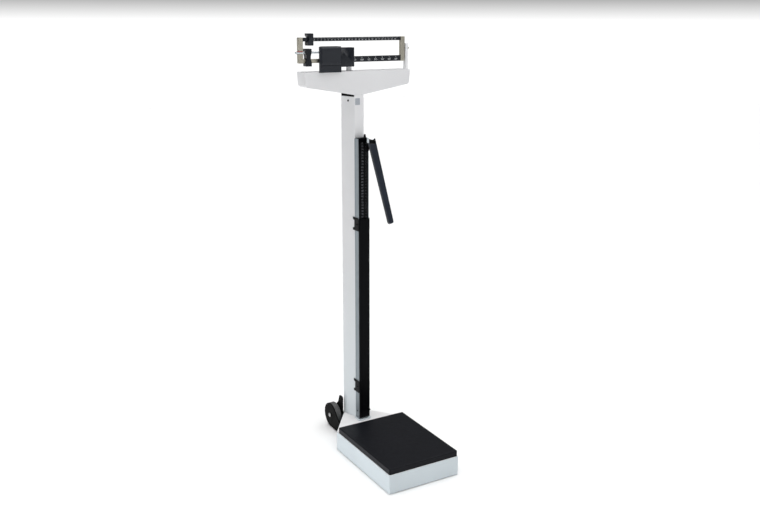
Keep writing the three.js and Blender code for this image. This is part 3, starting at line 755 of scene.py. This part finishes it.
def wrap_profile(front, back, bottom, top):
    """The YZ outline of a poise: an apron before the cap, a lip under the lower bar, a roof over it."""
    low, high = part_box("beam_lower_bar")
    slack = 0.6 * MM
    face, heel, apron = low.y - slack, high.y + slack, apron_rear()
    lip = max(bottom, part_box("cap_housing")[1].z + 4.5 * MM)
    return [
        (front, bottom), (apron, bottom), (apron, lip), (heel + 2 * MM, lip),
        (heel + 2 * MM, low.z + 2 * MM), (heel, low.z + 2 * MM), (heel, low.z - slack),
        (face, low.z - slack), (face, high.z + slack), (back, high.z + slack), (back, top), (front, top),
    ]


def build_large_poise():
    """A hollow casting that rides on the lower bar, with a raised front panel and a faceted nose."""
    body, slot = "large_poise_body", "black_enamel"
    low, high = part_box("large_poise")
    end_length, body_length = 17.5 * MM, 76.5 * MM
    shoulder, split = low.x + end_length, low.x + body_length
    front, back = low.y, high.y
    relief, step, sunk, hair = 6 * MM, 5 * MM, 0.2 * MM, 0.05 * MM
    nose_low, nose_high = low.z + 16.5 * MM, high.z - 4 * MM
    bm = bmesh.new()
    add_prism(bm, wrap_profile(front + relief, back, low.z, high.z), shoulder, split, "x")
    bevel(bm, 0.9 * MM, 3)
    block = finish_mesh(bm, "large_poise_block", body, slot, replaces=("large_poise",))
    bm = bmesh.new()
    nose_profile = wrap_profile(front + step + relief, back - step, nose_low, nose_high)
    add_prism(bm, nose_profile, split + hair, high.x, "x")
    bevel(bm, 0.9 * MM, 3)
    nose = finish_mesh(bm, "large_poise_nose", body, slot)
    rod = size_of("balance_rod")[2]
    bar_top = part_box("beam_lower_bar")[1].z
    for piece in (block, nose):
        tool = bmesh.new()
        add_block(tool, (low.x - 1 * MM, rod.y - 5 * MM, bar_top - 2 * MM),
                  (high.x + 1 * MM, rod.y + 5 * MM, rod.z + 6 * MM))
        carve(piece, cutter_from(tool))
    bm = bmesh.new()
    end_low = (low.x, front + relief, low.z + hair)
    add_block(bm, end_low, (shoulder + 2 * MM, apron_rear(), high.z - hair))
    bevel(bm, 0.9 * MM, 3)
    finish_mesh(bm, "large_poise_end", body, slot)
    shelf, pad_back = low.z + 22 * MM, front + relief + sunk
    bm = bmesh.new()
    panel_slopes = (6 * MM, 3.5 * MM, 9 * MM, 5 * MM)
    add_pad(bm, low.x, split, shelf, high.z, front, pad_back, panel_slopes)
    finish_mesh(bm, "large_poise_panel", body, slot)
    bm = bmesh.new()
    apron_slopes = (4 * MM, 3 * MM, 3 * MM, 0.2 * MM)
    add_pad(bm, low.x, split, low.z, shelf - 0.1 * MM, front + 3.2 * MM, pad_back, apron_slopes)
    finish_mesh(bm, "large_poise_apron", body, slot)
    bm = bmesh.new()
    left = split + 0.3 * MM
    add_pyramid(bm, left, high.x, nose_low, nose_high, front + 1.5 * MM, pad_back + step)
    finish_mesh(bm, "large_poise_facets", body, slot)


def add_pad(bm, x0, x1, z0, z1, front, back, slopes):
    """A raised front pad whose left, right, bottom and top sides slope back by the given widths."""
    left, right, bottom, top = slopes
    rear = corners_of(x0, x1, z0, z1)
    face = corners_of(x0 + left, x1 - right, z0 + bottom, z1 - top)
    skirt = 1.5 * MM
    stack_rings(bm, [(rear, back), (rear, back - skirt), (face, front)])
    bevel(bm, 0.8 * MM, 3, sharp_edges(bm, 15))


def add_pyramid(bm, x0, x1, z0, z1, front, back):
    """A raised pad with four facets that meet at a short ridge, nearer its left side."""
    ridge_x, ridge_z = x0 + (x1 - x0) * 0.46, (z0 + z1) / 2
    half, shoulder, lip = 3 * MM, 2.5 * MM, 1.5 * MM
    rear = corners_of(x0, x1, z0, z1)
    rim = corners_of(x0 + lip, x1 - lip, z0 + lip, z1 - lip)
    peak = corners_of(ridge_x - half, ridge_x + half, ridge_z - half, ridge_z + half)
    levels = [(rear, back), (rear, back - shoulder), (rim, back - shoulder - lip), (peak, front)]
    stack_rings(bm, levels)
    bevel(bm, 0.6 * MM, 2, sharp_edges(bm, 12))


def corners_of(x0, x1, z0, z1):
    return [(x0, z0), (x1, z0), (x1, z1), (x0, z1)]


def stack_rings(bm, levels):
    """Closes the XZ outlines into one solid, each at its own Y, from back to front."""
    rings = [[bm.verts.new((x, y, z)) for x, z in ring] for ring, y in levels]
    bridge(bm, rings)
    bm.faces.new(rings[0])
    bm.faces.new(rings[-1])


def build_small_weights():
    crisp("small_poise", 1.1, 3)
    crisp("balance_weight", 1.4, 4)


# ---------------------------------------------------------------- steelyard


def build_steelyard():
    crisp("steelyard_rod", 0.2, 1)
    crisp("steelyard_hook", 0.6, 3)


# ---------------------------------------------------------------- height rod


def build_channel():
    """The extruded aluminium channel, with a lip at the front and a shallow groove along each side."""
    low, high, middle = size_of("rod_channel")
    wall, lip, groove = 1.6 * MM, 2.4 * MM, 0.45 * MM
    half = (high.x - low.x) / 2
    right = [
        (half - wall, low.y), (half, low.y), (half, low.y + lip), (half - groove, low.y + lip + groove),
        (half - groove, high.y - 2 * lip), (half, high.y - 2 * lip + groove), (half, high.y),
    ]
    left = [(-u, v) for u, v in reversed(right)]
    inner = [(-half + wall, high.y - wall), (half - wall, high.y - wall)]
    outline = [(middle.x + u, v) for u, v in [*right, *left, *inner]]
    bm = bmesh.new()
    add_prism(bm, outline, low.z, high.z, "z")
    bevel(bm, 0.3 * MM, 2)
    finish_mesh(bm, "rod_channel_extrusion", "stand", "aluminium_rod", replaces=("rod_channel",))


def build_cover():
    crisp("rod_cover", 0.7, 3)
    low, high, middle = size_of("rod_cover")
    place = (middle.x, low.y + 0.05 * MM, low.z + 22 * MM)
    screw("cover_screw", "stand", place, "y", -1, *SMALL_SCREW, "black_rod")
    crisp("rod_foot", 0.7, 3)
    low, high, middle = size_of("rod_channel")
    for name, sign in SIDES.items():
        place = (low.x if sign < 0 else high.x, middle.y, low.z + 26 * MM)
        screw(f"channel_screw_{name}", "stand", place, "x", sign, *SMALL_SCREW, "black_rod")


def build_clips():
    for level in ("lower", "upper"):
        node = f"rod_clip_{level}"
        crisp(node, 0.4, 2)
        low, high, middle = size_of(node)
        for name, sign in SIDES.items():
            place = (low.x if sign < 0 else high.x, low.y + 13 * MM, middle.z)
            screw(f"clip_screw_{level}_{name}", "stand", place, "x", sign, *CLIP_SCREW, "black_rod")


def build_slider():
    """The inner rod: two raised side rails, a number every centimetre and a tick every half."""
    low, high, middle = size_of("height_slider")
    crisp("height_slider", 0.5, 2)
    rails = bmesh.new()
    for sign in (-1, 1):
        x = middle.x + sign * ((high.x - low.x) / 2 - 1.6 * MM)
        add_block(rails, (x - 1.1 * MM, low.y - 0.9 * MM, low.z), (x + 1.1 * MM, low.y + 0.3 * MM, high.z))
    bevel(rails, 0.35 * MM, 2)
    finish_mesh(rails, "slider_rails", "height_rod_inner", "black_rod")
    step, foot, head = 10 * MM, 20 * MM, 8 * MM
    reading_at_window, window = 98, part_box("rod_cover")[1].z
    front, back = low.y - PROUD, low.y + SUNK
    long_left, short_left, right = (middle.x + offset * MM for offset in (8, 11, 14))
    marks = bmesh.new()
    numbers = []
    for i in range(int((high.z - head - low.z - foot) / step)):
        z = low.z + foot + i * step
        value = round(reading_at_window - (z - window) / step)
        numbers.append((f"{value}", 8.2 * MM, middle.x - 3 * MM, low.y - 0.02 * MM, z))
        between = z + step / 2
        add_block(marks, (long_left, front, z - 0.25 * MM), (right, back, z + 0.25 * MM))
        add_block(marks, (short_left, front, between - 0.2 * MM), (right, back, between + 0.2 * MM))
    finish_mesh(marks, "slider_ticks", "height_rod_inner", "black_rod", DIM_MARKING)
    lettering(numbers, "slider_numbers", "height_rod_inner", "black_rod", DIM_MARKING)


def build_head():
    crisp("slider_head", 0.9, 3)
    crisp("slider_stop", 1.2, 3)
    crisp("headpiece_arm", 0.6, 3, ARM_PLASTIC)
    low, high, middle = size_of("hinge_pin")
    radius, length, chamfer = (high.z - low.z) / 2, high.x - low.x, 0.5 * MM
    bm = bmesh.new()
    profile = [
        (0, 0), (radius - chamfer, 0), (radius, chamfer),
        (radius, length - chamfer), (radius - chamfer, length), (0, length),
    ]
    add_lathe(bm, profile, "x", (low.x, middle.y, middle.z), 28)
    finish_mesh(bm, "hinge_pin_turned", "height_rod_inner", "steel", replaces=("hinge_pin",))
    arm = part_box("headpiece_arm")
    plate = bmesh.new()
    add_block(plate, (arm[0].x - 1.6 * MM, middle.y - 5 * MM, middle.z - 2 * MM),
              (arm[0].x - 0.4 * MM, middle.y + 7 * MM, middle.z + 14 * MM))
    bevel(plate, 0.5 * MM, 2)
    finish_mesh(plate, "hinge_plate", "height_rod_inner", "steel", BRIGHT_STEEL)


# ---------------------------------------------------------------- wheels


def build_wheels():
    for name, sign in SIDES.items():
        body = f"wheel_{name}"
        crisp(f"wheel_bracket_{name}", 0.7, 3)
        build_tyre(name, body)
        build_hub(name, body)
        build_axle_cap(name, sign)
    crisp("wheel_axle", 0.8, 3)


def build_tyre(name, body):
    """A solid tyre with a rounded shoulder and two grooves round its tread."""
    low, high, middle = size_of(f"tyre_{name}")
    outer, half = (high.z - low.z) / 2, (high.x - low.x) / 2
    inner, shoulder = outer - 11 * MM, 3 * MM
    groove, deep, groove_from_middle = 1.1 * MM, 1.2 * MM, half / 2.6
    side = [(inner, -half + 2 * MM), (inner + 2 * MM, -half + 0.6 * MM), (outer - 2 * shoulder, -half)]
    side += [(outer - shoulder + shoulder * math.sin(t), -half + shoulder - shoulder * math.cos(t))
             for t in (math.radians(a) for a in (20, 45, 70, 90))]
    tread = []
    for centre in (-groove_from_middle, groove_from_middle):
        tread += [(outer, centre - groove), (outer - deep, centre - groove * 0.4),
                  (outer - deep, centre + groove * 0.4), (outer, centre + groove)]
    profile = side + tread + [(r, -h) for r, h in reversed(side)]
    bm = bmesh.new()
    ring_solid(bm, profile, "x", middle, 72)
    finish_mesh(bm, f"tyre_tread_{name}", body, "wheel_tyre", replaces=(f"tyre_{name}",), smooth=30)


def ring_solid(bm, profile, axis, centre, steps):
    """A turned ring whose profile closes on itself."""
    centre = Vector(centre)
    rings = []
    for i in range(steps):
        turn = 2 * math.pi * i / steps
        rings.append([
            bm.verts.new(centre + placed(r * math.cos(turn), r * math.sin(turn), h, axis)) for r, h in profile
        ])
    for i in range(steps):
        this, following = rings[i], rings[(i + 1) % steps]
        for k in range(len(profile)):
            m = (k + 1) % len(profile)
            bm.faces.new((this[k], following[k], following[m], this[m]))


def build_hub(name, body):
    """A moulded hub: a rim, a dished web with a raised boss, and round lightening pockets."""
    node = f"wheel_hub_{name}"
    low, high, middle = size_of(node)
    outer, half = (high.z - low.z) / 2, (high.x - low.x) / 2
    bore, web, boss, edge = 5.3 * MM, 3 * MM, 12 * MM, 0.8 * MM
    pockets, pocket_circle, pocket_radius = 6, 19.5 * MM, 3.6 * MM
    side = [
        (bore, half), (boss - edge, half), (boss, half - edge), (boss + 1.5 * MM, web + edge),
        (boss + 3 * MM, web), (outer - 6 * MM, web), (outer - 4.5 * MM, web + edge),
        (outer - 3.5 * MM, half - edge), (outer - 3 * MM, half), (outer, half),
    ]
    profile = side + [(r, -h) for r, h in reversed(side)]
    bm = bmesh.new()
    ring_solid(bm, profile, "x", middle, 72)
    piece = finish_mesh(bm, f"hub_moulding_{name}", body, "wheel_plastic", replaces=(node,), smooth=30)
    cutters = []
    for i in range(pockets):
        turn = 2 * math.pi * i / pockets
        spot = placed(pocket_circle * math.cos(turn), pocket_circle * math.sin(turn), 0, "x")
        tool = bmesh.new()
        add_lathe(tool, [(pocket_radius, -half), (pocket_radius, half)], "x", middle + spot, 24)
        cutters.append(cutter_from(tool))
    carve(piece, *cutters)


def build_axle_cap(name, sign):
    """A domed push-on cap with a flat flange."""
    node = f"axle_cap_{name}"
    low, high, middle = size_of(node)
    radius = (high.z - low.z) / 2
    base = low.x if sign > 0 else high.x
    height = high.x - low.x
    profile = [(0, 0), (radius, 0), (radius, 0.5 * MM), (radius - 0.8 * MM, 0.8 * MM)]
    profile += [((radius - 1.4 * MM) * math.cos(t), 0.8 * MM + (height - 0.8 * MM) * math.sin(t))
                for t in (math.radians(a) for a in (8, 25, 45, 65, 80))]
    profile.append((0, height))
    bm = bmesh.new()
    add_lathe(bm, [(r, sign * h) for r, h in profile], "x", (base, middle.y, middle.z), 40)
    finish_mesh(bm, f"axle_dome_{name}", "stand", "nickel_plate", CAP_STEEL, (node,))


# ---------------------------------------------------------------- stage


def build_stage():
    floor = bmesh.new()
    reach, thickness = 12, 0.02
    add_block(floor, (-reach, -reach, -thickness), (reach, reach, 0))
    mesh = bpy.data.meshes.new("floor")
    floor.to_mesh(mesh)
    floor.free()
    plane = bpy.data.objects.new("floor", mesh)
    bpy.context.scene.collection.objects.link(plane)
    n = Nodes("Pale_Floor")
    n.colour(n.mix(n.remap(n.noise(2, 3), 0, 1), (0.92, 0.92, 0.92), (0.95, 0.95, 0.95)))
    n.set(Roughness=0.9)
    mesh.materials.append(n.material)


# How the room's brightness runs with the direction's height, or with how far back it points:
# the start and end of the change, and the levels there.
CEILING = (0.55, 0.85, 0.15, 2.1)
BELOW = (-0.01, 0.03, 1.1, 0.0)
BEHIND = (-0.3, 0.1, 0.0, 1.0)


def area_light(name, place, target, width, height, power, spread=180):
    data = bpy.data.lights.new(name, "AREA")
    data.shape = "RECTANGLE"
    data.size = width
    data.size_y = height
    data.energy = power
    data.spread = math.radians(spread)
    light = bpy.data.objects.new(name, data)
    light.location = place
    light.rotation_euler = (Vector(target) - Vector(place)).to_track_quat("-Z", "Y").to_euler()
    bpy.context.scene.collection.objects.link(light)


def combined(tree, operation, first, second):
    node = tree.nodes.new("ShaderNodeMath")
    node.operation = operation
    tree.links.new(first, node.inputs[0])
    tree.links.new(second, node.inputs[1])
    return node.outputs["Value"]


def build_lights():
    """A room with a bright ceiling and dim walls, white behind the floor's far edge, and soft lamps."""
    bpy.context.scene.view_settings.view_transform = "Standard"
    world = bpy.data.worlds.new("studio")
    bpy.context.scene.world = world
    world.use_nodes = True
    tree = world.node_tree
    place = tree.nodes.new("ShaderNodeTexCoord")
    split = tree.nodes.new("ShaderNodeSeparateXYZ")
    tree.links.new(place.outputs["Generated"], split.inputs["Vector"])
    levels = []
    for axis, limits in (("Z", CEILING), ("Z", BELOW), ("Y", BEHIND)):
        ramp = tree.nodes.new("ShaderNodeMapRange")
        for name, value in zip(("From Min", "From Max", "To Min", "To Max"), limits):
            ramp.inputs[name].default_value = value
        tree.links.new(split.outputs[axis], ramp.inputs["Value"])
        levels.append(ramp.outputs["Result"])
    ceiling, below, behind = levels
    backdrop = combined(tree, "MULTIPLY", below, behind)
    brightness = combined(tree, "MAXIMUM", ceiling, backdrop)
    tree.links.new(brightness, tree.nodes["Background"].inputs["Strength"])
    tree.nodes["Background"].inputs["Color"].default_value = (1, 1, 1, 1)
    area_light("left_low", (-1.35, -0.2, 0.25), (0, -0.12, 0.02), 0.5, 0.3, 0.55, 60)
    area_light("front_high", (0.4, -3.2, 2.0), (0, 0.1, 1.25), 1.0, 0.8, 10)
    area_light("face_shine", (1.3, -2.5, 1.25), (0, 0.1, 1.34), 1.1, 0.5, 1.6)


# The camera's place and direction, measured from the middle of the base's front edge.
CAMERA_PLACE = Vector((-1.4584, -2.2077, 1.4894))
CAMERA_YAW, CAMERA_PITCH, CAMERA_ROLL = (math.radians(a) for a in (30.263, 15.740, 0.134))
CAMERA_LENS = 42.57


def build_camera():
    """Looks at the scale from its front left and a little above."""
    low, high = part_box("base_shell")
    turn = Matrix.Rotation(-CAMERA_YAW, 4, "Z") @ Matrix.Rotation(math.pi / 2 - CAMERA_PITCH, 4, "X")
    data = bpy.data.cameras.new("camera")
    data.sensor_width = 36
    data.lens = CAMERA_LENS
    camera = bpy.data.objects.new("camera", data)
    place = Vector(((low.x + high.x) / 2, low.y, 0)) + CAMERA_PLACE
    camera.matrix_world = Matrix.Translation(place) @ turn @ Matrix.Rotation(CAMERA_ROLL, 4, "Z")
    bpy.context.scene.collection.objects.link(camera)
    bpy.context.scene.camera = camera


build_base()
build_platform()
build_levers()
build_column()
build_gap_shade_strips()
build_cap()
build_bars()
build_brackets()
build_pointer()
build_balance_rod()
build_large_poise()
build_small_weights()
build_steelyard()
build_channel()
build_cover()
build_clips()
build_slider()
build_head()
build_wheels()
build_stage()
build_lights()
build_camera()
